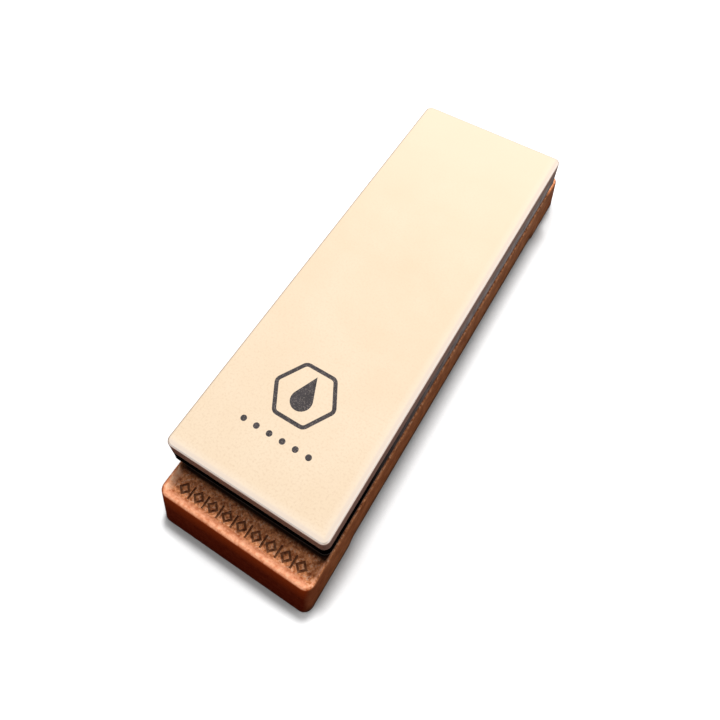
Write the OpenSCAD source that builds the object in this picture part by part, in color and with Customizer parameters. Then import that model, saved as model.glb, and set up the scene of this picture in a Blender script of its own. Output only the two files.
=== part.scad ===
// Bench whetstone: a fine water stone slab on a spacer pad, bonded to a moulded plastic base.
// Units are millimetres. X runs across the slab, Y runs along it and Z is up.
// The origin is the middle of the footprint, on the surface that the base stands on.

/* [Stone slab] */
// Length of the slab over its side coats
slab_length = 210; // [150:1:240]
// Width of the slab over its side coats
slab_width = 73; // [60:1:90]
// Thickness of the slab
slab_thickness = 14.6; // [10:0.1:20]
// Radius of the slab's upright corners
slab_corner = 3; // [2:0.5:6]
// Chamfer along the slab's top edges
slab_chamfer = 0.5; // [0.4:0.1:1.5]

/* [Side coats] */
// Thickness of the coats on the slab's sides
coat_thickness = 0.2; // [0.1:0.05:0.4]
// Height of the black seal round the slab's lower edge
seal_height = 6.9; // [3:0.1:8]

/* [Spacer pad and adhesive] */
// Thickness of the spacer pad
pad_thickness = 10.7; // [4:0.1:16]
// How far the pad stands back from the slab's long sides
pad_setback = 2.2; // [2:0.1:4]
// How far the pad stands back from the slab's ends
pad_end_setback = 0.8; // [0.5:0.1:4]
// Gap between the pad and the side walls of its seat
pad_gap = 0.4; // [0.1:0.1:0.5]
// Thickness of each film of adhesive
glue_thickness = 0.3; // [0.1:0.1:0.6]

/* [Base] */
// Height of the rim above the surface
rim_height = 22.9; // [18:0.1:30]
// How far the rim stands inside the slab's sides
rim_inset = 0.3; // [-1:0.1:0.3]
// Reach of the front ledge past the slab
front_ledge = 12.6; // [8:0.1:16]
// Reach of the rear ledge past the slab
rear_ledge = 10.4; // [8:0.1:16]
// How much wider the base is at its foot, each side
side_flare = 0.2; // [0:0.1:1]
// How much longer the base is at its foot, each end
end_flare = 4.2; // [0:0.1:5]
// Radius of the base's upright corners
base_corner = 4; // [3:0.5:6]
// Radius of the rim's outer edge
rim_round = 1.2; // [0.6:0.1:1.2]
// Depth of the dish below the rim
dish_depth = 2; // [1:0.1:3]
// Width of the slope between rim and dish floor
dish_slope = 2.6; // [1:0.1:4]
// Width of the rim's flat top at each end, beyond its rounded edge
rim_flat = 0.3; // [0.1:0.1:1]

/* [Underside] */
// Wall thickness of the moulding
wall = 2.4; // [1.6:0.1:3]
// Thickness of the deck that carries the pad
deck = 3; // [2:0.1:4]
// Number of ribs across the underside
rib_count = 3; // [1:1:5]
// Thickness of each rib
rib_thickness = 1.8; // [1.2:0.1:2.4]
// Gap between the ribs and the surface
rib_lift = 7; // [4:0.5:10]
// Length of each foot along the side walls
foot_length = 30; // [15:1:45]
// Height of the relief between the feet
relief_height = 4; // [1:0.5:6]

/* [Marks] */
// Size of the printed hexagon across its corners
mark_size = 29; // [16:1:36]
// Width of the printed line
mark_line = 1.7; // [0.8:0.1:2.5]
// Distance of the printed hexagon's middle from the slab's front edge
mark_reach = 43.4; // [30:0.1:60]
// Number of dots in the printed row
dot_count = 6; // [3:1:9]
// Number of lozenges engraved in the front ledge
lozenge_count = 9; // [3:1:9]

/* [Hidden] */
$fn = 64;

// Oversize that lets a cutter pass cleanly through a face
reach = 1;

// Number of sides of the marks' outlines
lozenge_sides = 4;
hexagon_sides = 6;

// Base, measured at its rim and at its foot
rim_width = slab_width - 2 * rim_inset;
rim_length = slab_length + front_ledge + rear_ledge;
foot_width = rim_width + 2 * side_flare;
base_length = rim_length + 2 * end_flare;
floor_height = rim_height - dish_depth;
cavity_height = floor_height - deck;

// Pad, and the dish that it sits in
pad_width = slab_width - 2 * pad_setback;
pad_length = slab_length - 2 * pad_end_setback;
dish_width = pad_width + 2 * pad_gap;
dish_length = rim_length - 2 * (rim_round + rim_flat);

// Stack of layers on the dish floor
pad_height = floor_height + glue_thickness;
glue_height = pad_height + pad_thickness;
slab_height = glue_height + glue_thickness;
top_height = slab_height + slab_thickness;
slab_shift = (front_ledge - rear_ledge) / 2;
slab_front = slab_shift - slab_length / 2;

// Core of the slab inside its coats
core_length = slab_length - 2 * coat_thickness;
core_width = slab_width - 2 * coat_thickness;
core_corner = slab_corner - coat_thickness;

// How far each adhesive film stops short of the pad's edge
glue_inset = 0.8;

// Ink of the printed mark, let into the working face, and its shapes
ink_thickness = 0.05;
mark_left = 1.5;
drop_radius = 4.6;
drop_height = 11.5;
drop_offset = -2.6;
dot_size = 2.6;
dot_pitch = 6;
dot_reach = 23.4;

// Engraved row in the front ledge
engraving_depth = 0.7;
engraving_line = 1.05;
lozenge_length = 5.6;
lozenge_pitch = 7;
engraving_reach = 5.9;

// Outline with four rounded corners, centred on the origin
module rounded_plan(width, length, radius) {
    square([width - 2 * radius, length], center = true);
    square([width, length - 2 * radius], center = true);
    for (x = [-1, 1], y = [-1, 1])
        translate([x * (width / 2 - radius), y * (length / 2 - radius)])
            circle(r = radius);
}

// Plate with rounded upright corners
module rounded_plate(width, length, radius, height) {
    linear_extrude(height = height)
        rounded_plan(width, length, radius);
}

// Side view of a block with sloping sides and rounded top edges
module soft_profile(foot, top, height, radius) {
    spread = (foot - top) / 2;
    slant = norm([spread, height]);
    arc_middle = top / 2 - radius * (slant - spread) / height;
    touch_across = arc_middle + radius * height / slant;
    touch_up = height - radius + radius * spread / slant;
    polygon([
        [-foot / 2, 0],
        [foot / 2, 0],
        [touch_across, touch_up],
        [arc_middle, height],
        [-arc_middle, height],
        [-touch_across, touch_up]
    ]);
    for (side = [-1, 1])
        translate([side * arc_middle, height - radius])
            circle(r = radius);
}

// Stands a side view up, so that it runs across the part for the given width
module along_x(width) {
    rotate([90, 0, 90])
        translate([0, 0, -width / 2])
            linear_extrude(height = width)
                children();
}

// Stands a side view up, so that it runs along the part for the given length
module along_y(length) {
    rotate([90, 0, 0])
        translate([0, 0, -length / 2])
            linear_extrude(height = length)
                children();
}

// Side view of the dish, which opens upwards past the rim
module dish_profile(top) {
    polygon([
        [-top / 2 + dish_slope, floor_height],
        [top / 2 - dish_slope, floor_height],
        [top / 2, rim_height],
        [top / 2, rim_height + reach],
        [-top / 2, rim_height + reach],
        [-top / 2, rim_height]
    ]);
}

// Outer form of the base
module base_block() {
    intersection() {
        rounded_plate(foot_width, base_length, base_corner, rim_height);
        along_x(foot_width + 2 * reach)
            soft_profile(base_length, rim_length, rim_height, rim_round);
        along_y(base_length + 2 * reach)
            soft_profile(foot_width, rim_width, rim_height, rim_round);
    }
}

// Shallow dish that leaves a ledge at each end, with an upright-sided seat for the pad between them
module dish() {
    intersection() {
        along_x(foot_width)
            dish_profile(dish_length);
        along_y(base_length)
            dish_profile(dish_width);
    }
    translate([0, slab_shift, floor_height])
        rounded_plate(dish_width, pad_length + 2 * pad_gap, slab_corner, dish_depth + reach);
}

// Hollow under the deck, with its ends parallel to the sloping ends of the base
module cavity() {
    foot_room = base_length - 2 * wall;
    head_room = foot_room - 2 * end_flare * cavity_height / rim_height;
    intersection() {
        translate([0, 0, -reach])
            rounded_plate(rim_width - 2 * wall, foot_room, base_corner - wall / 2, cavity_height + reach);
        along_x(foot_width)
            polygon([
                [-foot_room / 2, -reach],
                [foot_room / 2, -reach],
                [foot_room / 2, 0],
                [head_room / 2, cavity_height],
                [-head_room / 2, cavity_height],
                [-foot_room / 2, 0]
            ]);
    }
}

// Ribs across the underside
module ribs() {
    rib_pitch = base_length / (rib_count + 1);
    for (i = [1 : rib_count])
        translate([-rim_width / 2 + wall / 2, i * rib_pitch - base_length / 2 - rib_thickness / 2, rib_lift])
            cube([rim_width - wall, rib_thickness, cavity_height - rib_lift + deck / 2]);
}

// Relief that lifts the side walls off the surface between the feet
module side_relief() {
    half = base_length / 2 - foot_length;
    along_x(foot_width + 2 * reach)
        polygon([
            [-half, -reach],
            [half, -reach],
            [half, 0],
            [half - relief_height, relief_height],
            [relief_height - half, relief_height],
            [-half, 0]
        ]);
}

// Outline of one engraved lozenge
module lozenge() {
    difference() {
        circle(d = lozenge_length, $fn = lozenge_sides);
        circle(d = lozenge_length - 2 * engraving_line, $fn = lozenge_sides);
    }
}

// Row of engraved lozenges with a short bar between neighbours
module engraving() {
    middle = (lozenge_count - 1) / 2;
    translate([0, slab_front - engraving_reach, floor_height - engraving_depth])
        linear_extrude(height = engraving_depth + reach) {
            for (i = [0 : lozenge_count - 1])
                translate([(i - middle) * lozenge_pitch, 0])
                    lozenge();
            for (i = [1 : lozenge_count - 1])
                translate([(i - middle - 0.5) * lozenge_pitch, 0])
                    square([engraving_line, lozenge_length], center = true);
        }
}

// One-piece moulding with a dish on top and a hollow underside
module base() {
    color("#7a4630")
        difference() {
            union() {
                difference() {
                    base_block();
                    cavity();
                }
                ribs();
            }
            dish();
            side_relief();
            engraving();
        }
}

// Thin film of adhesive at the given height
module glue_film(height) {
    color("#1c1a18")
        translate([0, slab_shift, height])
            rounded_plate(pad_width - 2 * glue_inset, pad_length - 2 * glue_inset, slab_corner, glue_thickness);
}

// Film that bonds the pad to the base
module base_adhesive() {
    glue_film(floor_height);
}

// Film that bonds the slab to the pad
module slab_adhesive() {
    glue_film(glue_height);
}

// Black pad that lifts the slab above the base
module spacer_pad() {
    color("#0b0a09")
        translate([0, slab_shift, pad_height])
            rounded_plate(pad_width, pad_length, slab_corner, pad_thickness);
}

// Top layer of the slab, with a chamfer all round
module chamfered_layer() {
    straight_width = core_width - 2 * core_corner;
    straight_length = core_length - 2 * core_corner;
    along_x(straight_width)
        polygon([
            [-core_length / 2, 0],
            [core_length / 2, 0],
            [core_length / 2 - slab_chamfer, slab_chamfer],
            [slab_chamfer - core_length / 2, slab_chamfer]
        ]);
    along_y(straight_length)
        polygon([
            [-core_width / 2, 0],
            [core_width / 2, 0],
            [core_width / 2 - slab_chamfer, slab_chamfer],
            [slab_chamfer - core_width / 2, slab_chamfer]
        ]);
    for (x = [-1, 1], y = [-1, 1])
        translate([x * straight_width / 2, y * straight_length / 2, 0])
            cylinder(h = slab_chamfer, r1 = core_corner, r2 = core_corner - slab_chamfer);
}

// Water drop, with its middle on the origin
module drop() {
    touch = drop_radius * drop_radius / drop_height;
    half_width = sqrt(drop_radius * drop_radius - touch * touch);
    circle(r = drop_radius);
    polygon([
        [-half_width, touch],
        [0, drop_height],
        [half_width, touch]
    ]);
}

// Mark on the working face, of the given height: a hexagon round a water drop, over a row of dots
module mark(height) {
    middle = (dot_count - 1) / 2;
    translate([-mark_left, slab_front, top_height - ink_thickness])
        linear_extrude(height = height) {
            translate([0, mark_reach])
                difference() {
                    circle(d = mark_size, $fn = hexagon_sides);
                    circle(d = mark_size - 2 * mark_line, $fn = hexagon_sides);
                }
            translate([0, mark_reach + drop_offset])
                drop();
            for (i = [0 : dot_count - 1])
                translate([(i - middle) * dot_pitch, dot_reach])
                    circle(d = dot_size);
        }
}

// Cream abrasive slab, with room for the ink in its working face
module stone_slab() {
    side_height = slab_thickness - slab_chamfer;
    color("#fce6cc")
        difference() {
            translate([0, slab_shift, slab_height]) {
                rounded_plate(core_width, core_length, core_corner, side_height);
                translate([0, 0, side_height])
                    chamfered_layer();
            }
            mark(ink_thickness + reach);
        }
}

// Band of coating round the slab's four sides
module coat_band(height) {
    linear_extrude(height = height)
        difference() {
            rounded_plan(slab_width, slab_length, slab_corner);
            rounded_plan(core_width, core_length, core_corner);
        }
}

// Black seal round the lower part of the slab's sides
module lower_seal() {
    color("#0d0b0a")
        translate([0, slab_shift, slab_height])
            coat_band(seal_height);
}

// Taupe lacquer round the upper part of the slab's sides
module side_lacquer() {
    color("#62524a")
        translate([0, slab_shift, slab_height + seal_height])
            coat_band(slab_thickness - slab_chamfer - seal_height);
}

// Ink of the printed mark, level with the working face
module printed_mark() {
    color("#504e5a")
        mark(ink_thickness);
}

base();
base_adhesive();
spacer_pad();
slab_adhesive();
stone_slab();
lower_seal();
side_lacquer();
printed_mark();
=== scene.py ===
import math

import bmesh
import bpy
from mathutils import Matrix, Vector, noise


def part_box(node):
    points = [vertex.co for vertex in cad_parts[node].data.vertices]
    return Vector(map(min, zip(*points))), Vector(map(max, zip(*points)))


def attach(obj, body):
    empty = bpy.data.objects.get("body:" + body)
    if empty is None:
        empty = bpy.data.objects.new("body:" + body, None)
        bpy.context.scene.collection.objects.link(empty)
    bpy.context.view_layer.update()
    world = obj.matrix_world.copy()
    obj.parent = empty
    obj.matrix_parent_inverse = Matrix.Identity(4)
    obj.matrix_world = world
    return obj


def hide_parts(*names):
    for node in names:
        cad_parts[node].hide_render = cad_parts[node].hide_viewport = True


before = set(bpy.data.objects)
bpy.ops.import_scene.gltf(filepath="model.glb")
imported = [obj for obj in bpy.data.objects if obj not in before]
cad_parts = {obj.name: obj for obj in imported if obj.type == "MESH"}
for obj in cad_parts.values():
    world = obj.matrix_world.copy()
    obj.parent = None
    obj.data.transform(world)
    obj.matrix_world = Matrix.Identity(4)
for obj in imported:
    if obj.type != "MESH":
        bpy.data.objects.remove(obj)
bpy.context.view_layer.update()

# Bench whetstone: a cream slab with lacquered sides, on a black pad in a brown moulded base.
# Everything is in metres in the part's own frame: X across, Y along, Z up from the surface it stands on.

MM = 0.001
BODY = "root"

base_low, base_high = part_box("base")
pad_low, pad_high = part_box("spacer_pad")
slab_low, slab_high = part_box("stone_slab")
seal_low, seal_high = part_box("lower_seal")
lacquer_low, lacquer_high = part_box("side_lacquer")
mark_low, mark_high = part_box("printed_mark")
low_glue_low, low_glue_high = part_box("base_adhesive")
high_glue_low, high_glue_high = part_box("slab_adhesive")

# Base: outline, dish and walls
BASE_CORNER = 4 * MM
LEAST_BASE_CORNER = 1.2 * MM
END_FLARE = 4.2 * MM
SIDE_FLARE = 0.2 * MM
RIM_ROUND = 1.2 * MM
SLOPE_FOOT = 5.0 * MM
SEAT_WALL = 1.6 * MM
SEAT_EASE = 2.5 * MM
WALL = 2.4 * MM
DECK = 3 * MM
EDGE_ROUND = 0.5 * MM
CEILING_FILLET = 1.2 * MM
CEILING_MARGIN = 1.5 * MM
FOOT_LENGTH = 30 * MM
RELIEF_HEIGHT = 4 * MM
RELIEF_TOP = 7 * MM
RIB_COUNT = 3
RIB_THICKNESS = 1.8 * MM
RIB_DRAFT = 0.15
RIB_BEVEL = 0.4 * MM
RIB_LIFT = 7 * MM

# Heights of the rings down the outside of the base's walls and up their inside
OUTSIDE_LEVELS = (19 * MM, 15 * MM, 11 * MM, RELIEF_TOP, 4 * MM, 2 * MM, 1 * MM)
INSIDE_LEVELS = (2 * MM, 4 * MM, RELIEF_TOP, 12 * MM)

# Engraved row in the front ledge; its lines are wider at the top and narrower at the bottom
LOZENGE_COUNT = 9
LOZENGE_LENGTH = 5.6 * MM
LOZENGE_PITCH = 7 * MM
ENGRAVING_LINE = 1.05 * MM
ENGRAVING_DEPTH = 0.7 * MM
ENGRAVING_REACH = 5.9 * MM
ENGRAVING_SPREAD = 0.10 * MM
ENGRAVING_PINCH = 0.12 * MM

# Slab: its corner, its chamfer, and how far the rubbed arris wavers
SLAB_CORNER = 3 * MM
CHAMFER = 0.5 * MM
FACE_SUPPORT = 1.5 * MM
ARRIS_CUT = 0.15 * MM
ARRIS_WEAR = 0.05 * MM
ARRIS_WAVE = 5 * MM
ARRIS_SEED = 3.1
SLAB_FOOT_BEVEL = 0.3 * MM

# Coats round the slab's sides
COAT = 0.2 * MM
COAT_ROUND = COAT / 2
COAT_EDGE = 0.3 * MM
COAT_SUPPORT = 0.75 * MM
COAT_WAVE = 9 * MM
COAT_SEED = 7.7
SEAL_LIP = 0.12 * MM
SEAL_DIP = 0.12 * MM
LACQUER_LIP = 0.03 * MM

# Pad, and the adhesive films above and below it
PAD_EDGE = 0.7 * MM
PAD_HOLLOW = 0.35 * MM
FILM_EDGE = 0.25 * MM
FILM_SHOULDER = 0.06 * MM
FILM_WANDER = 0.35 * MM
FILM_WAVE = 7 * MM

# Printed mark
MARK_SIZE = 29 * MM
MARK_LINE = 1.7 * MM
MARK_ROUND = 1.6 * MM
INK_PROUD = 0.02 * MM
DROP_RADIUS = 4.6 * MM
DROP_HEIGHT = 11.5 * MM
DROP_OFFSET = -2.6 * MM
DROP_STEPS = 28
DOT_COUNT = 6
DOT_SIZE = 2.6 * MM
DOT_PITCH = 6 * MM
DOT_SIDES = 24

# Light that the floor throws back at the object, in general and at the back on the right
FLOOR_BOUNCE = (0.10, 0.022, 0.01)
BRIGHT_BOUNCE = (0.19, 0.185, 0.18)
CONTACT_SHADE = (0.42, 0.42, 0.42)
CONTACT_SHADE_REACH = 28 * MM
FLOOR_HALF = 4.0

# Camera: place and target from the middle of the working face, lens and sensor in millimetres
CAMERA_PLACE = Vector((81.2, -151.7, 271.2)) * MM
CAMERA_TARGET = Vector((-22.3, 13.4, 0)) * MM
CAMERA_LENS = 37.06
CAMERA_SENSOR = 36
CAMERA_SHIFT = -1 / 6
CAMERA_ROLL = math.radians(-0.68)
CAMERA_NEAR = 10 * MM

# Rings that the shapes are lofted through: points on each, and where extra ones lie
CORNER_SIDES = ((1, 1), (-1, 1), (-1, -1), (1, -1))
CORNER_STEPS = 8
LONG_STEPS = 150
SHORT_STEPS = 44
WAIST_SHARES = (0.75, 0.5, 0.25)
SUPPORT = 0.4 * MM
LEAST_CORNER = 0.3 * MM
SHARP_ANGLE = math.radians(38)


def smooth(t):
    """Eases from 0 to 1, flat at both ends."""
    t = min(1.0, max(0.0, t))
    return t * t * (3 - 2 * t)


def waver(point, wavelength, seed):
    """Gentle noise from -1 to 1 with the given wavelength, the same on every run."""
    return noise.noise(Vector(point) / wavelength + Vector((seed, seed * 0.37, seed * 1.9)))


# ---------------------------------------------------------------- meshes

def ring(half_x, half_y, radius, z, middle_y=0.0):
    """Rounded rectangle as a closed row of points; every ring has the same number of them."""
    arcs = []
    for turn, (side_x, side_y) in enumerate(CORNER_SIDES):
        centre = Vector((side_x * (half_x - radius), middle_y + side_y * (half_y - radius), z))
        arc = []
        for step in range(CORNER_STEPS + 1):
            angle = math.pi / 2 * (turn + step / CORNER_STEPS)
            arc.append(centre + radius * Vector((math.cos(angle), math.sin(angle), 0)))
        arcs.append(arc)
    points = []
    for turn, arc in enumerate(arcs):
        points += arc
        steps = SHORT_STEPS if turn % 2 == 0 else LONG_STEPS
        following = arcs[(turn + 1) % len(arcs)][0]
        points += [arc[-1].lerp(following, step / steps) for step in range(1, steps)]
    return points


def box_ring(low, high, radius, z, inset=0.0):
    """Ring that follows a box's outline, moved in by inset."""
    middle = (low + high) / 2
    half = (high - low) / 2
    return ring(half.x - inset, half.y - inset, max(radius - inset, LEAST_CORNER), z, middle.y)


def polygon(centre, reach, sides):
    """Flat outline of a regular polygon, with a corner towards +X."""
    points = []
    for side in range(sides):
        angle = 2 * math.pi * side / sides
        points.append(Vector((centre.x + reach * math.cos(angle), centre.y + reach * math.sin(angle))))
    return points


def rounded_outline(corners, radius, steps=5):
    """Closed outline through the corners, each rounded off with an arc."""
    points = []
    count = len(corners)
    for i, corner in enumerate(corners):
        to_last = (corners[i - 1] - corner).normalized()
        to_next = (corners[(i + 1) % count] - corner).normalized()
        half_angle = to_last.angle(to_next) / 2
        centre = corner + (to_last + to_next).normalized() * radius / math.sin(half_angle)
        outward = math.atan2(corner.y - centre.y, corner.x - centre.x)
        for step in range(steps + 1):
            angle = outward + (math.pi / 2 - half_angle) * (2 * step / steps - 1)
            points.append(centre + radius * Vector((math.cos(angle), math.sin(angle))))
    return points


def eased_corner(before, corner, after, steps=4):
    """Row of points that rounds a corner off, from one side of it to the other."""
    first = corner + (before - corner).normalized() * ARRIS_CUT
    last = corner + (after - corner).normalized() * ARRIS_CUT
    points = []
    for step in range(steps + 1):
        t = step / steps
        points.append(first.lerp(corner, t).lerp(corner.lerp(last, t), t))
    return points


def at_height(outline, z):
    """Flat outline as a ring of points at one height."""
    return [Vector((point.x, point.y, z)) for point in outline]


def plate(outline, low, high):
    """Rings of a flat plate with the given outline."""
    return [at_height(outline, low), at_height(outline, high)]


def mesh_object(name, verts, faces):
    """Closed mesh with outward faces, smooth except at sharp edges."""
    mesh = bpy.data.meshes.new(name)
    mesh.from_pydata([tuple(v) for v in verts], [], faces)
    skin = bmesh.new()
    skin.from_mesh(mesh)
    bmesh.ops.recalc_face_normals(skin, faces=skin.faces)
    skin.to_mesh(mesh)
    skin.free()
    piece = bpy.data.objects.new(name, mesh)
    bpy.context.scene.collection.objects.link(piece)
    soften(piece)
    return piece


def soften(piece):
    """Smooth shading that stops at sharp edges."""
    piece.data.shade_smooth()
    piece.data.set_sharp_from_angle(angle=SHARP_ANGLE)


def loft_data(rings, looped=False, start=0):
    """Vertices and faces of a skin through the rings, closed by a cap at each end or into a loop."""
    count = len(rings[0])
    verts = [point for row in rings for point in row]
    spans = len(rings) if looped else len(rings) - 1
    faces = []
    for row in range(spans):
        here = start + row * count
        there = start + (row + 1) % len(rings) * count
        for i in range(count):
            j = (i + 1) % count
            faces.append((here + i, here + j, there + j, there + i))
    if not looped:
        faces.append(tuple(start + i for i in reversed(range(count))))
        faces.append(tuple(start + (len(rings) - 1) * count + i for i in range(count)))
    return verts, faces


def loft(name, rings, looped=False):
    """One piece out of one lofted solid."""
    return mesh_object(name, *loft_data(rings, looped))


def loft_many(name, solids):
    """One piece out of several lofted solids, each given as (rings, looped)."""
    verts, faces = [], []
    for rings, looped in solids:
        more_verts, more_faces = loft_data(rings, looped, start=len(verts))
        verts += more_verts
        faces += more_faces
    return mesh_object(name, verts, faces)


def combine(piece, tool, operation):
    """Applies an exact boolean with the tool, which is then deleted."""
    modifier = piece.modifiers.new(operation, "BOOLEAN")
    modifier.operation = operation
    modifier.solver = "EXACT"
    modifier.object = tool
    graph = bpy.context.evaluated_depsgraph_get()
    result = bpy.data.meshes.new_from_object(piece.evaluated_get(graph))
    piece.modifiers.clear()
    old = piece.data
    piece.data = result
    bpy.data.meshes.remove(old)
    old_tool = tool.data
    bpy.data.objects.remove(tool)
    bpy.data.meshes.remove(old_tool)
    soften(piece)


# ---------------------------------------------------------------- base

rim_height = base_high.z
floor_height = low_glue_low.z
rim_half_width = base_high.x - SIDE_FLARE
rim_half_length = base_high.y - END_FLARE
dish_depth = rim_height - floor_height
cavity_height = floor_height - DECK
seat_front = pad_low.y - SEAT_EASE
seat_rear = pad_high.y + SEAT_EASE
row_y = slab_low.y - COAT - ENGRAVING_REACH


def wall_outline(z):
    """Half width and half length of the base's outside at a height."""
    drop = (rim_height - z) / rim_height
    return rim_half_width + SIDE_FLARE * drop, rim_half_length + END_FLARE * drop


def seat_share(y):
    """1 beside the pad, where the dish has upright sides, and 0 at the ledges."""
    return smooth((y - seat_front) / SEAT_EASE) * smooth((seat_rear - y) / SEAT_EASE)


def relief(y):
    """How far the side walls stand off the surface between the feet."""
    reach = base_high.y - FOOT_LENGTH - abs(y)
    return RELIEF_HEIGHT * smooth(reach / RELIEF_HEIGHT)


def base_ring(inset, z, dished=False):
    """Ring of the base's surface, moved in from the outside by inset."""
    half_x, half_y = wall_outline(z)
    radius = max(BASE_CORNER - inset, LEAST_BASE_CORNER)
    points = ring(half_x - inset, half_y - inset, radius, z)
    straight_side = half_x - inset - 0.01 * MM
    slope_share = (SEAT_WALL - RIM_ROUND) / (SLOPE_FOOT - RIM_ROUND)
    steep_inset = RIM_ROUND + (inset - RIM_ROUND) * slope_share
    for point in points:
        if dished and inset > RIM_ROUND and abs(point.x) > straight_side:
            outward = (inset - steep_inset) * seat_share(point.y)
            point.x += math.copysign(outward, point.x)
        if z < RELIEF_TOP:
            point.z += relief(point.y) * (RELIEF_TOP - z) / RELIEF_TOP
    return points


def base_rings():
    """The base's skin, from the dish floor over the rim, down the outside and up inside."""
    slope_steps = 9
    round_steps = 7
    edge_steps = 4
    rings = [base_ring(SLOPE_FOOT + SUPPORT, floor_height, dished=True)]
    for step in range(slope_steps + 1):
        t = step / slope_steps
        inset = SLOPE_FOOT + (RIM_ROUND - SLOPE_FOOT) * t
        rings.append(base_ring(inset, floor_height + dish_depth * smooth(t), dished=True))
    for step in range(1, round_steps + 1):
        angle = math.pi / 2 * step / round_steps
        inset = RIM_ROUND * (1 - math.sin(angle))
        rings.append(base_ring(inset, rim_height - RIM_ROUND * (1 - math.cos(angle))))
    for z in OUTSIDE_LEVELS:
        rings.append(base_ring(0, z))
    for step in range(edge_steps + 1):
        angle = math.pi / 2 * step / edge_steps
        inset = EDGE_ROUND * (1 - math.cos(angle))
        rings.append(base_ring(inset, EDGE_ROUND * (1 - math.sin(angle))))
    for step in range(edge_steps + 1):
        angle = math.pi / 2 * step / edge_steps
        inset = WALL - EDGE_ROUND * (1 - math.sin(angle))
        rings.append(base_ring(inset, EDGE_ROUND * (1 - math.cos(angle))))
    for z in (*INSIDE_LEVELS, cavity_height - CEILING_MARGIN):
        rings.append(base_ring(WALL, z))
    for step in range(edge_steps + 1):
        angle = math.pi / 2 * step / edge_steps
        inset = WALL + CEILING_FILLET * (1 - math.cos(angle))
        rings.append(base_ring(inset, cavity_height - CEILING_FILLET * (1 - math.sin(angle))))
    rings.append(base_ring(WALL + CEILING_FILLET + SUPPORT, cavity_height))
    return rings


def rib_tool():
    """Ribs across the underside, drawn as bars that run into the walls and the deck."""
    pitch = 2 * base_high.y / (RIB_COUNT + 1)
    half_x = rim_half_width - WALL / 2
    top = cavity_height + DECK / 3
    thin = RIB_THICKNESS / 2 * (1 - RIB_DRAFT)
    thick = RIB_THICKNESS / 2 * (1 + RIB_DRAFT)
    profile = [
        (-thin, RIB_LIFT + RIB_BEVEL),
        (-thin + RIB_BEVEL, RIB_LIFT),
        (thin - RIB_BEVEL, RIB_LIFT),
        (thin, RIB_LIFT + RIB_BEVEL),
        (thick, cavity_height - RIB_BEVEL),
        (thick + RIB_BEVEL, cavity_height),
        (thick + RIB_BEVEL, top),
        (-thick - RIB_BEVEL, top),
        (-thick - RIB_BEVEL, cavity_height),
        (-thick, cavity_height - RIB_BEVEL),
    ]
    solids = []
    for i in range(1, RIB_COUNT + 1):
        y = base_low.y + i * pitch
        rings = []
        for x in (-half_x, half_x):
            rings.append([Vector((x, y + along, z)) for along, z in profile])
        solids.append((rings, False))
    return loft_many("rib_tool", solids)


def engraving_tool():
    """Row of lozenge outlines with a bar between neighbours, with sloping sides."""
    middle = (LOZENGE_COUNT - 1) / 2
    reach = LOZENGE_LENGTH / 2
    slant_line = ENGRAVING_LINE * math.sqrt(2)
    levels = (
        (floor_height + DECK, ENGRAVING_SPREAD),
        (floor_height - ENGRAVING_DEPTH, -ENGRAVING_PINCH),
    )
    solids = []
    for i in range(LOZENGE_COUNT):
        centre = Vector(((i - middle) * LOZENGE_PITCH, row_y))
        outer = [at_height(polygon(centre, reach + widen, 4), z) for z, widen in levels]
        inner = [at_height(polygon(centre, reach - slant_line - widen, 4), z) for z, widen in levels]
        solids.append((outer + inner[::-1], True))
    for i in range(1, LOZENGE_COUNT):
        x = (i - middle - 0.5) * LOZENGE_PITCH
        rings = []
        for z, widen in levels:
            wide = ENGRAVING_LINE / 2 + widen
            tall = reach + widen
            rings.append([
                Vector((x + side_x * wide, row_y + side_y * tall, z))
                for side_x, side_y in CORNER_SIDES
            ])
        solids.append((rings, False))
    return loft_many("engraving_tool", solids)


def make_base():
    """Moulded base with ribs under its deck and an engraved row in its front ledge."""
    piece = loft("base_moulding", base_rings())
    combine(piece, rib_tool(), "UNION")
    combine(piece, engraving_tool(), "DIFFERENCE")
    return piece


# ---------------------------------------------------------------- slab, coats, pad and adhesive

def make_slab():
    """Cream slab; its top arris wavers a little, as a rubbed edge does."""
    top = slab_high.z
    bottom = slab_low.z
    corner = SLAB_CORNER - COAT
    face_end = Vector((CHAMFER + FACE_SUPPORT, 0))
    inner = Vector((CHAMFER, 0))
    outer = Vector((0, CHAMFER))
    side_end = Vector((0, CHAMFER + SUPPORT))
    profile = [face_end]
    profile += eased_corner(face_end, inner, outer)
    profile += eased_corner(inner, outer, side_end)
    rings = []
    for inset, drop in profile:
        points = box_ring(slab_low, slab_high, corner, top - drop, inset)
        if 0 < drop < CHAMFER:
            for point in points:
                worn = 1 + waver(point, ARRIS_WAVE, ARRIS_SEED)
                point.z -= ARRIS_WEAR * worn * drop / CHAMFER
        rings.append(points)
    rings.append(box_ring(slab_low, slab_high, corner, bottom + SLAB_FOOT_BEVEL))
    rings.append(box_ring(slab_low, slab_high, corner, bottom, SLAB_FOOT_BEVEL))
    rings.append(box_ring(slab_low, slab_high, corner, bottom, SLAB_FOOT_BEVEL + SUPPORT))
    return loft("slab_of_stone", rings)


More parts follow.
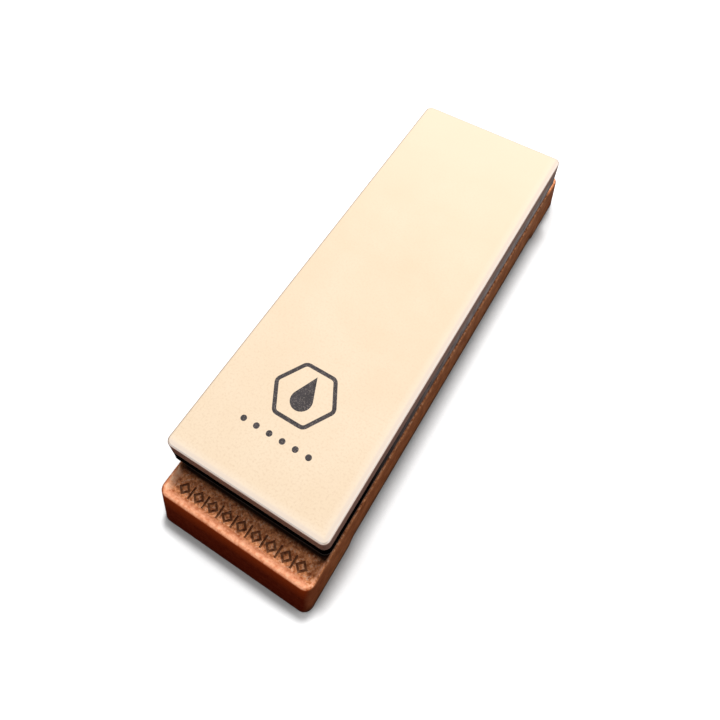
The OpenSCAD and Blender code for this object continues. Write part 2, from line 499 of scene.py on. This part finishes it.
def make_band(name, low, high, lip=0.0, dip=0.0):
    """Coat round the slab's sides, with rounded edges; lip thickens its lower edge, dip makes it waver."""
    steps = 3
    rings = [box_ring(low, high, SLAB_CORNER, high.z, COAT)]
    for step in reversed(range(steps + 1)):
        angle = math.pi / 2 * step / steps
        z = high.z - COAT_ROUND * (1 - math.sin(angle))
        rings.append(box_ring(low, high, SLAB_CORNER, z, COAT_ROUND * (1 - math.cos(angle))))
    for share in WAIST_SHARES:
        rings.append(box_ring(low, high, SLAB_CORNER, low.z + (high.z - low.z) * share))
    edge_rings = [box_ring(low, high, SLAB_CORNER, low.z + COAT_SUPPORT)]
    for step in range(2 * steps + 1):
        angle = math.pi * step / (2 * steps)
        z = low.z + COAT_EDGE * (1 + math.cos(angle))
        inset = -lip * math.sin(angle) + COAT * smooth(step / steps - 1)
        edge_rings.append(box_ring(low, high, SLAB_CORNER, z, inset))
    for row in edge_rings:
        for point in row:
            point.z += dip * waver(point, COAT_WAVE, COAT_SEED)
    return loft(name, rings + edge_rings, looped=True)


def pad_edge(z, inward):
    """Rings of one rounded edge of the pad, from its flat face outwards."""
    steps = 4
    rings = [box_ring(pad_low, pad_high, SLAB_CORNER, z, PAD_EDGE + SUPPORT)]
    for step in range(steps + 1):
        angle = math.pi / 2 * step / steps
        ring_z = z + inward * PAD_EDGE * (1 - math.cos(angle))
        rings.append(box_ring(pad_low, pad_high, SLAB_CORNER, ring_z, PAD_EDGE * (1 - math.sin(angle))))
    return rings


def make_pad():
    """Black pad with softly rounded edges and slightly hollow sides."""
    waist = []
    for share in WAIST_SHARES:
        z = pad_low.z + (pad_high.z - pad_low.z) * share
        hollow = PAD_HOLLOW * math.sin(math.pi * share)
        waist.append(box_ring(pad_low, pad_high, SLAB_CORNER, z, hollow))
    return loft("spacer_pad_block", pad_edge(pad_high.z, -1) + waist + pad_edge(pad_low.z, 1)[::-1])


def make_film(name, low, high, seed):
    """Film of adhesive whose edge wanders where it was squeezed out."""
    thickness = high.z - low.z
    centre = (low + high) / 2
    long_side = (high.x - low.x) / 2 - MM
    profile = ((1, FILM_EDGE), (0.75, FILM_SHOULDER), (0.5, 0), (0.25, FILM_SHOULDER), (0, FILM_EDGE))
    rings = []
    for share, inset in profile:
        points = box_ring(low, high, SLAB_CORNER, low.z + thickness * share, inset)
        for point in points:
            push = FILM_WANDER * waver((point.x, point.y, 0), FILM_WAVE, seed)
            if abs(point.x - centre.x) > long_side:
                point.x += push if point.x > centre.x else -push
            else:
                point.y += push if point.y > centre.y else -push
        rings.append(points)
    return loft(name, rings)


def drop_outline(middle):
    """Outline of a water drop, from its tip round its belly."""
    lean = math.asin(DROP_RADIUS / DROP_HEIGHT)
    outline = [Vector((middle.x, middle.y + DROP_HEIGHT))]
    for step in range(DROP_STEPS + 1):
        angle = math.pi - lean + (math.pi + 2 * lean) * step / DROP_STEPS
        outline.append(middle + DROP_RADIUS * Vector((math.cos(angle), math.sin(angle))))
    return outline


def make_mark():
    """Film of ink in the working face, just proud of it: a drop in a hexagon, over a row of dots."""
    low, high = mark_low.z, mark_high.z + INK_PROUD
    middle_x = (mark_low.x + mark_high.x) / 2
    reach = MARK_SIZE / 2
    slant = math.sin(math.pi / 3)
    hexagon = Vector((middle_x, mark_high.y - reach * slant))
    outer = rounded_outline(polygon(hexagon, reach, 6), MARK_ROUND + MARK_LINE)
    inner = rounded_outline(polygon(hexagon, reach - MARK_LINE / slant, 6), MARK_ROUND)
    drop = drop_outline(hexagon + Vector((0, DROP_OFFSET)))
    solids = [
        (plate(outer, low, high) + plate(inner, low, high)[::-1], True),
        (plate(drop, low, high), False),
    ]
    for i in range(DOT_COUNT):
        x = middle_x + (i - (DOT_COUNT - 1) / 2) * DOT_PITCH
        dot = polygon(Vector((x, mark_low.y + DOT_SIZE / 2)), DOT_SIZE / 2, DOT_SIDES)
        solids.append((plate(dot, low, high), False))
    return loft_many("mark_of_ink", solids)


# ---------------------------------------------------------------- materials

class Look:
    """Small helper that builds one procedural material."""

    def __init__(self, name, roughness, **settings):
        self.material = bpy.data.materials.new(name)
        self.material.use_nodes = True
        self.nodes = self.material.node_tree.nodes
        self.links = self.material.node_tree.links
        self.shader = self.nodes["Principled BSDF"]
        self.shader.inputs["Roughness"].default_value = roughness
        for socket, value in settings.items():
            self.shader.inputs[socket.replace("_", " ")].default_value = value
        self.place = self.nodes.new("ShaderNodeTexCoord").outputs["Object"]

    def grain(self, size, detail=3, rough=0.5, stretch=None):
        """Noise with features of about the given size."""
        texture = self.nodes.new("ShaderNodeTexNoise")
        texture.inputs["Scale"].default_value = 1 / size
        texture.inputs["Detail"].default_value = detail
        texture.inputs["Roughness"].default_value = rough
        place = self.place
        if stretch:
            mapping = self.nodes.new("ShaderNodeMapping")
            mapping.inputs["Scale"].default_value = stretch
            self.links.new(place, mapping.inputs["Vector"])
            place = mapping.outputs["Vector"]
        self.links.new(place, texture.inputs["Vector"])
        return texture.outputs["Fac"]

    def cells(self, size):
        """Distance to the nearest of many scattered points."""
        texture = self.nodes.new("ShaderNodeTexVoronoi")
        texture.inputs["Scale"].default_value = 1 / size
        self.links.new(self.place, texture.inputs["Vector"])
        return texture.outputs["Distance"]

    def coordinate(self, axis):
        """Where the surface is along an axis, in metres."""
        return self.part_of(self.place, axis)

    def facing(self, axis):
        """How far the surface faces along an axis, from -1 to 1."""
        return self.part_of(self.place.node.outputs["Normal"], axis)

    def facing_sideways(self):
        """1 where the surface faces left or right, and 0 where it faces along or up."""
        return self.span(self.math("ABSOLUTE", self.facing("X")), 0.35, 0.8)

    def part_of(self, vector, axis):
        """One component of a vector."""
        split = self.nodes.new("ShaderNodeSeparateXYZ")
        self.links.new(vector, split.inputs[0])
        return split.outputs[axis]

    def span(self, value, low, high, to_low=0.0, to_high=1.0):
        """Maps low..high to to_low..to_high, held at the ends."""
        mapped = self.nodes.new("ShaderNodeMapRange")
        ends = {"From Min": low, "From Max": high, "To Min": to_low, "To Max": to_high}
        for socket, number in ends.items():
            mapped.inputs[socket].default_value = number
        self.links.new(value, mapped.inputs["Value"])
        return mapped.outputs["Result"]

    def inverse(self, value):
        """1 where the value is 0, and 0 where it is 1."""
        return self.span(value, 0, 1, 1, 0)

    def math(self, operation, a, b=0.0):
        """Result of one operation on sockets or numbers."""
        result = self.nodes.new("ShaderNodeMath")
        result.operation = operation
        for socket, value in zip(result.inputs, (a, b)):
            if isinstance(value, (int, float)):
                socket.default_value = value
            else:
                self.links.new(value, socket)
        return result.outputs[0]

    def times(self, product, *factors):
        """Product of several sockets or numbers."""
        for factor in factors:
            product = self.math("MULTIPLY", product, factor)
        return product

    def distance(self, value, centre):
        """How far a value is from a fixed one."""
        return self.math("ABSOLUTE", self.math("SUBTRACT", value, centre))

    def mix(self, share, first, second):
        """Colour between first and second."""
        blend = self.nodes.new("ShaderNodeMix")
        blend.data_type = "RGBA"
        sockets = [s for s in blend.inputs if s.type == "RGBA"]
        for socket, colour in zip(sockets, (first, second)):
            if isinstance(colour, tuple):
                socket.default_value = (*colour, 1)
            else:
                self.links.new(colour, socket)
        self.links.new(share, blend.inputs["Factor"])
        return [s for s in blend.outputs if s.type == "RGBA"][0]

    def colour(self, value):
        """Sets the base colour."""
        self.links.new(value, self.shader.inputs["Base Color"])

    def roughness(self, value):
        """Sets a roughness that varies over the surface."""
        self.links.new(value, self.shader.inputs["Roughness"])

    def bumps(self, *layers):
        """Bump from several (height, depth in metres) layers, one over the other."""
        normal = None
        for height, depth in layers:
            bump = self.nodes.new("ShaderNodeBump")
            bump.inputs["Strength"].default_value = 1
            bump.inputs["Distance"].default_value = depth
            self.links.new(height, bump.inputs["Height"])
            if normal:
                self.links.new(normal, bump.inputs["Normal"])
            normal = bump.outputs["Normal"]
        self.links.new(normal, self.shader.inputs["Normal"])


def speckled(look, tone):
    """Fine pores, denser and darker at the near end, and a few brown specks."""
    pores = look.grain(0.9 * MM, 3, 0.6)
    tone = look.mix(look.span(pores, 0.42, 0.62, 0, 0.3), tone, (0.67, 0.52, 0.37))
    near_end = look.span(look.coordinate("Y"), slab_low.y, slab_low.y + 90 * MM, 1, 0.25)
    deep_pores = look.span(pores, 0.50, 0.68, 0, 0.6)
    tone = look.mix(look.times(deep_pores, near_end), tone, (0.59, 0.445, 0.31))
    dots = look.span(look.cells(1.5 * MM), 0.05, 0.13, 1, 0)
    clusters = look.span(look.grain(5 * MM, 2), 0.56, 0.62)
    return look.mix(look.times(dots, clusters, 0.4), tone, (0.45, 0.30, 0.19))


def pale_edges_and_arris_highlight(look, tone):
    """Near and right edges of the working face: a paler band, a greyer line inside the arris, and a painted
    highlight on the arris itself.
    """
    side_gap = look.math("SUBTRACT", slab_high.x, look.coordinate("X"))
    end_gap = look.math("SUBTRACT", look.coordinate("Y"), slab_low.y)
    gap = look.math("MINIMUM", side_gap, end_gap)
    edge = look.span(gap, 0.8 * MM, 5 * MM, 1, 0)
    tone = look.mix(look.times(edge, 0.6), tone, (0.73, 0.63, 0.52))
    lip = look.span(gap, 1.6 * MM, 2.6 * MM, 1, 0)
    tone = look.mix(look.times(lip, 0.6), tone, (0.58, 0.49, 0.425))
    # Painted highlight: the arris of the near and right edges is painted pale.
    arris = look.span(gap, 0.45 * MM, 0.65 * MM, 1, 0)
    return look.mix(arris, tone, (0.76, 0.68, 0.61))


def stone_look():
    """Very fine cream stone with faint clouds, speckled at the near end and lighter and yellower towards
    the far end.
    """
    look = Look("cream_stone", 0.85, Specular_IOR_Level=0.25)
    clouds = look.grain(26 * MM, 4, 0.55)
    tone = look.mix(look.span(clouds, 0.35, 0.65), (0.675, 0.535, 0.383), (0.695, 0.563, 0.415))
    tone = speckled(look, tone)
    # Lighter and yellower towards the far end of the working face.
    lighter_far_end = look.span(look.coordinate("Y"), 10 * MM, slab_high.y)
    tone = look.mix(look.times(lighter_far_end, 0.8), tone, (0.70, 0.598, 0.448))
    look.colour(pale_edges_and_arris_highlight(look, tone))
    look.bumps((look.grain(0.25 * MM, 3), 0.012 * MM), (look.grain(1.6 * MM, 2), 0.01 * MM))
    return look.material


def wall_tone(look, mottle, along):
    """Outer walls: red-brown, painted darker towards the bottom as painted shade and brighter below the end
    rims as painted light; the long sides are painted paler as painted light, with blotches, and dark at the
    foot as painted shade.
    """
    height = look.coordinate("Z")
    clouds = look.grain(14 * MM, 3)
    deep = look.mix(look.span(clouds, 0.35, 0.65), (0.14, 0.008, 0.001), (0.18, 0.014, 0.002))
    # Painted shade: the walls are painted darker towards the bottom.
    tone = look.mix(look.span(height, 0, 0.8 * rim_height), (0.11, 0.006, 0.001), deep)
    tone = look.mix(look.span(mottle, 0.42, 0.68, 0, 0.35), tone, (0.29, 0.055, 0.018))
    # Painted light: the long sides are painted paler, with blotches, for the light they catch.
    blotches = look.grain(6 * MM, 4, 0.7)
    lit_long_side_tone = look.mix(look.span(blotches, 0.36, 0.66), (0.26, 0.092, 0.032), (0.52, 0.220, 0.095))
    long_sides = look.facing_sideways()
    off_ends = look.span(along, base_high.y - 18 * MM, base_high.y - 4 * MM, 0.92, 0.45)
    tone = look.mix(look.times(long_sides, off_ends), tone, lit_long_side_tone)
    # Painted shade: the long sides are painted dark at the foot, and higher up between the feet where the
    # wall stands off the surface.
    underlip = look.span(height, 1 * MM, 4.5 * MM, 1, 0)
    relief_end = base_high.y - FOOT_LENGTH
    between_feet = look.span(along, relief_end - RELIEF_HEIGHT, relief_end, 1, 0)
    high_underlip = look.times(look.span(height, 4.5 * MM, 9 * MM, 1, 0), between_feet)
    shaded = look.times(look.math("MAXIMUM", underlip, high_underlip), long_sides)
    tone = look.mix(look.times(shaded, 0.85), tone, (0.035, 0.014, 0.008))
    # Painted light: the end walls are painted brighter just below the rim.
    near_rim = look.span(height, rim_height - 10 * MM, rim_height - 2 * MM)
    return look.mix(look.times(near_rim, look.inverse(long_sides)), tone, (0.46, 0.065, 0.008))


def top_tone(look, mottle):
    """Faces that look up, painted much lighter than the walls as painted light from above: a mottle with
    dark and light grit.
    """
    grit = look.grain(1.15 * MM, 3, 0.6)
    tone = look.mix(look.span(mottle, 0.36, 0.64), (0.33, 0.082, 0.021), (0.98, 0.39, 0.165))
    tone = look.mix(look.span(grit, 0.38, 0.50, 0.45, 0), tone, (0.20, 0.042, 0.010))
    return look.mix(look.span(grit, 0.52, 0.66, 0, 0.55), tone, (0.96, 0.62, 0.42))


def ledge_slope_highlight(look, tone, mottle, along, facing_up):
    """Slopes round the ledges, painted pale as painted highlight, most of all on the left; the right-hand
    crest is left out.
    """
    pale = look.mix(look.span(mottle, 0.34, 0.62), (0.60, 0.195, 0.088), (0.86, 0.415, 0.25))
    paler = look.mix(look.span(mottle, 0.36, 0.6), (0.88, 0.40, 0.21), (1.0, 0.64, 0.43))
    turned = look.span(look.facing("X"), 0.12, 0.4)
    left = look.span(look.coordinate("X"), -10 * MM, 0, 1, 0)
    pale = look.mix(look.times(turned, left), pale, paler)
    above_floor = look.span(look.coordinate("Z"), floor_height + 0.1 * MM, floor_height + 1.3 * MM)
    ledges = look.span(along, pad_high.y - 9 * MM, pad_high.y - 2 * MM)
    not_leftward = look.span(look.facing("X"), -0.35, -0.15)
    right_crest = look.times(turned, look.inverse(left))
    # Painted highlight on the ledge slopes.
    painted_highlight_mask = look.times(above_floor, facing_up, ledges, not_leftward, look.inverse(right_crest))
    return look.mix(look.times(painted_highlight_mask, 0.92), tone, pale)


def engraved(look, tone):
    """Darker bottom of the engraved lines: painted shade in the recess."""
    reach = LOZENGE_LENGTH / 2
    sunk = look.span(look.coordinate("Z"), floor_height - 0.5 * MM, floor_height - 0.1 * MM, 1, 0)
    from_row = look.distance(look.coordinate("Y"), row_y)
    in_row = look.span(from_row, reach + 0.2 * MM, reach + 0.4 * MM, 1, 0)
    across = look.math("ABSOLUTE", look.coordinate("X"))
    inboard = look.span(across, pad_high.x, pad_high.x + 0.5 * MM, 1, 0)
    # Painted shade in the bottom of the engraving.
    return look.mix(look.times(sunk, in_row, inboard, 0.75), tone, (0.075, 0.016, 0.004))


def pad_foot_shadow(look, tone, along, facing_up):
    """Painted shadow: a dark line on the base round the pad's foot, under the slab's overhang."""
    past_end = look.math("SUBTRACT", along, (pad_high.y - pad_low.y) / 2)
    past_side = look.math("SUBTRACT", look.math("ABSOLUTE", look.coordinate("X")), pad_high.x)
    pad_shadow_mask = look.span(look.math("MAXIMUM", past_end, past_side), 0.1 * MM, 1.6 * MM, 1, 0)
    # Painted shadow where the pad meets the base.
    return look.mix(look.times(pad_shadow_mask, facing_up, 0.95), tone, (0.014, 0.001, 0.0003))


def plastic_look():
    """Reddish-brown moulded plastic with a leathery grain, with painted highlight on its ledge slopes,
    painted light on its tops and long sides, and painted shade low on the walls, in the engraving and round
    the pad.
    """
    look = Look("brown_plastic", 0.45, Specular_IOR_Level=0.4, Specular_Tint=(1.0, 0.6, 0.35, 1))
    mottle = look.grain(2.1 * MM, 4, 0.68)
    along = look.distance(look.coordinate("Y"), (pad_low.y + pad_high.y) / 2)
    facing_up = look.span(look.facing("Z"), 0.45, 0.85)
    # Painted light and shade: faces that look up take a much lighter tone than the walls, a lit and a
    # shaded copy of one plastic.
    tone = look.mix(facing_up, wall_tone(look, mottle, along), top_tone(look, mottle))
    tone = ledge_slope_highlight(look, tone, mottle, along, facing_up)
    tone = engraved(look, tone)
    look.colour(pad_foot_shadow(look, tone, along, facing_up))
    look.roughness(look.span(mottle, 0.35, 0.7, 0.55, 0.4))
    look.bumps((look.grain(0.8 * MM, 4, 0.6), 0.14 * MM), (look.grain(0.28 * MM, 2), 0.03 * MM))
    return look.material


def lacquer_look():
    """Taupe lacquer with a soft gloss and slight brush-marks along it."""
    look = Look("taupe_lacquer", 0.45, Specular_IOR_Level=0.3)
    streaks = look.grain(3 * MM, 3, 0.5, stretch=(0.3, 0.3, 3))
    look.colour(look.mix(look.span(streaks, 0.35, 0.65), (0.30, 0.195, 0.155), (0.36, 0.25, 0.205)))
    look.roughness(look.span(streaks, 0.3, 0.7, 0.42, 0.56))
    look.bumps((look.grain(1.2 * MM, 3), 0.02 * MM))
    return look.material


def seal_look():
    """Black sealing coat with a painted grey sheen on its long sides and a thin painted glint along its
    foot.
    """
    look = Look("black_seal", 0.5, Specular_IOR_Level=0.0)
    patches = look.grain(4 * MM, 3)
    tone = look.mix(look.span(patches, 0.35, 0.65), (0.001, 0.0008, 0.0008), (0.003, 0.0025, 0.0022))
    along = look.coordinate("Y")
    past_front = look.span(along, -75 * MM, 15 * MM)
    before_rear = look.span(along, seal_high.y - 10 * MM, seal_high.y, 1, 0.3)
    uneven = look.span(patches, 0.3, 0.6, 0.5, 1)
    # Painted reflection: grey sheen on the long sides, away from the ends.
    painted_highlight_mask = look.times(past_front, before_rear, look.facing_sideways(), uneven)
    tone = look.mix(painted_highlight_mask, tone, (0.42, 0.37, 0.36))
    # Painted glint: a thin grey line along the coat's foot.
    foot_glint = look.span(look.coordinate("Z"), seal_low.z + 0.35 * MM, seal_low.z + 0.7 * MM, 1, 0)
    look.colour(look.mix(look.times(foot_glint, 0.8), tone, (0.16, 0.13, 0.12)))
    look.roughness(look.span(patches, 0.3, 0.7, 0.45, 0.6))
    look.bumps((look.grain(1.5 * MM, 3), 0.03 * MM))
    return look.material


def pad_look():
    """Black rubber pad with a fine grain."""
    look = Look("black_pad", 0.7, Specular_IOR_Level=0.05)
    grain = look.grain(0.6 * MM, 3)
    look.colour(look.mix(look.span(grain, 0.35, 0.65), (0.003, 0.0025, 0.002), (0.009, 0.0075, 0.007)))
    look.roughness(look.span(grain, 0.3, 0.7, 0.6, 0.8))
    look.bumps((grain, 0.03 * MM))
    return look.material


def glue_look():
    """Set dark adhesive."""
    look = Look("dark_adhesive", 0.4, Specular_IOR_Level=0.4)
    patches = look.grain(2 * MM, 3)
    look.colour(look.mix(look.span(patches, 0.35, 0.65), (0.009, 0.008, 0.007), (0.018, 0.016, 0.014)))
    look.bumps((patches, 0.05 * MM))
    return look.material


def ink_look():
    """Dark grey ink that is thin in places, so that the stone shows a little."""
    look = Look("dark_grey_ink", 0.75, Specular_IOR_Level=0.2)
    thin = look.span(look.grain(0.5 * MM, 3, 0.6), 0.52, 0.72)
    patches = look.span(look.grain(3 * MM, 2), 0.3, 0.7)
    tone = look.mix(patches, (0.036, 0.031, 0.032), (0.052, 0.044, 0.046))
    look.colour(look.mix(look.times(thin, 0.3), tone, (0.5, 0.42, 0.36)))
    look.bumps((look.grain(0.4 * MM, 2), 0.01 * MM))
    return look.material


def floor_look():
    """White paper with a soft contact shade, which throws little light back, except behind on the right."""
    look = Look("white_floor", 0.9, Specular_IOR_Level=0.1)
    openness = look.nodes.new("ShaderNodeAmbientOcclusion")
    openness.samples = 16
    openness.inputs["Distance"].default_value = CONTACT_SHADE_REACH
    paper = look.mix(look.grain(60 * MM, 2), (0.97, 0.97, 0.97), (0.99, 0.99, 0.99))
    look.colour(look.mix(look.span(openness.outputs["AO"], 0.4, 0.85), CONTACT_SHADE, paper))
    dim = look.nodes.new("ShaderNodeBsdfDiffuse")
    right = look.span(look.coordinate("X"), base_high.x, 2 * base_high.x)
    back = look.span(look.coordinate("Y"), 0.5 * base_low.y, 0.3 * base_high.y)
    look.links.new(look.mix(look.times(right, back), FLOOR_BOUNCE, BRIGHT_BOUNCE), dim.inputs["Color"])
    choice = look.nodes.new("ShaderNodeMixShader")
    camera_ray = look.nodes.new("ShaderNodeLightPath").outputs["Is Camera Ray"]
    look.links.new(camera_ray, choice.inputs["Fac"])
    look.links.new(dim.outputs["BSDF"], choice.inputs[1])
    look.links.new(look.shader.outputs["BSDF"], choice.inputs[2])
    look.links.new(choice.outputs["Shader"], look.nodes["Material Output"].inputs["Surface"])
    return look.material


# ---------------------------------------------------------------- pieces on the frame

def fit(piece, slot, material, *nodes):
    """Finishes a piece: material, body and the nodes that it stands for; the slot argument is not used."""
    piece.data.materials.clear()
    piece.data.materials.append(material)
    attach(piece, BODY)
    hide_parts(*nodes)


base = make_base()
lower_film = make_film("adhesive_on_base", low_glue_low, low_glue_high, seed=1.3)
pad = make_pad()
upper_film = make_film("adhesive_under_slab", high_glue_low, high_glue_high, seed=5.9)
slab = make_slab()
seal_band = make_band("black_seal_band", seal_low, seal_high, lip=SEAL_LIP, dip=SEAL_DIP)
lacquer_band = make_band("taupe_lacquer_band", lacquer_low, lacquer_high, lip=LACQUER_LIP)
mark = make_mark()
glue = glue_look()

fit(base, "base_plastic", plastic_look(), "base")
fit(lower_film, "adhesive", glue, "base_adhesive")
fit(pad, "pad_rubber", pad_look(), "spacer_pad")
fit(upper_film, "adhesive", glue, "slab_adhesive")
fit(slab, "stone", stone_look(), "stone_slab")
fit(seal_band, "seal", seal_look(), "lower_seal")
fit(lacquer_band, "lacquer", lacquer_look(), "side_lacquer")
fit(mark, "ink", ink_look(), "printed_mark")


# ---------------------------------------------------------------- stage

def make_floor():
    """Plain pale floor, wide enough for every view."""
    corners = [(side_x * FLOOR_HALF, side_y * FLOOR_HALF, 0) for side_x, side_y in CORNER_SIDES]
    mesh = bpy.data.meshes.new("floor")
    mesh.from_pydata(corners, [], [(0, 1, 2, 3)])
    floor = bpy.data.objects.new("floor", mesh)
    bpy.context.scene.collection.objects.link(floor)
    mesh.materials.append(floor_look())


def area_light(name, azimuth, elevation, distance, width, height, watts):
    """Soft light that faces the object; azimuth 0 is over the far end, 90 over the right side."""
    data = bpy.data.lights.new(name, "AREA")
    data.shape = "RECTANGLE"
    data.size = width
    data.size_y = height
    data.energy = watts
    light = bpy.data.objects.new(name, data)
    bpy.context.scene.collection.objects.link(light)
    turn, rise = math.radians(azimuth), math.radians(elevation)
    away = Vector((math.sin(turn) * math.cos(rise), math.cos(turn) * math.cos(rise), math.sin(rise)))
    light.location = away * distance
    light.rotation_mode = "QUATERNION"
    light.rotation_quaternion = (-away).to_track_quat("-Z", "Y")


def make_world(strength):
    """Even white light from all round."""
    world = bpy.data.worlds.new("studio")
    world.use_nodes = True
    background = world.node_tree.nodes["Background"]
    background.inputs["Color"].default_value = (1, 1, 1, 1)
    background.inputs["Strength"].default_value = strength
    bpy.context.scene.world = world


def make_camera():
    """Camera that looks down on the working face from in front, on the right."""
    face = Vector(((slab_low.x + slab_high.x) / 2, (slab_low.y + slab_high.y) / 2, slab_high.z))
    place = face + CAMERA_PLACE
    target = face + CAMERA_TARGET
    data = bpy.data.cameras.new("camera")
    data.lens = CAMERA_LENS
    data.sensor_width = CAMERA_SENSOR
    data.shift_y = CAMERA_SHIFT
    data.clip_start = CAMERA_NEAR
    camera = bpy.data.objects.new("camera", data)
    bpy.context.scene.collection.objects.link(camera)
    camera.location = place
    camera.rotation_mode = "QUATERNION"
    roll = Matrix.Rotation(CAMERA_ROLL, 3, "Z").to_quaternion()
    camera.rotation_quaternion = (target - place).to_track_quat("-Z", "Y") @ roll
    bpy.context.scene.camera = camera


make_floor()
area_light("key_light", azimuth=349, elevation=75.8, distance=1.5, width=0.2, height=0.2, watts=18.5)
area_light("broad_light", azimuth=350, elevation=80, distance=1.3, width=0.7, height=0.7, watts=5.5)
area_light("right_light", azimuth=75, elevation=30, distance=1.2, width=0.7, height=0.5, watts=2.5)
make_world(strength=0.27)
make_camera()
bpy.context.scene.view_settings.view_transform = "Standard"
bpy.context.scene.view_settings.look = "None"
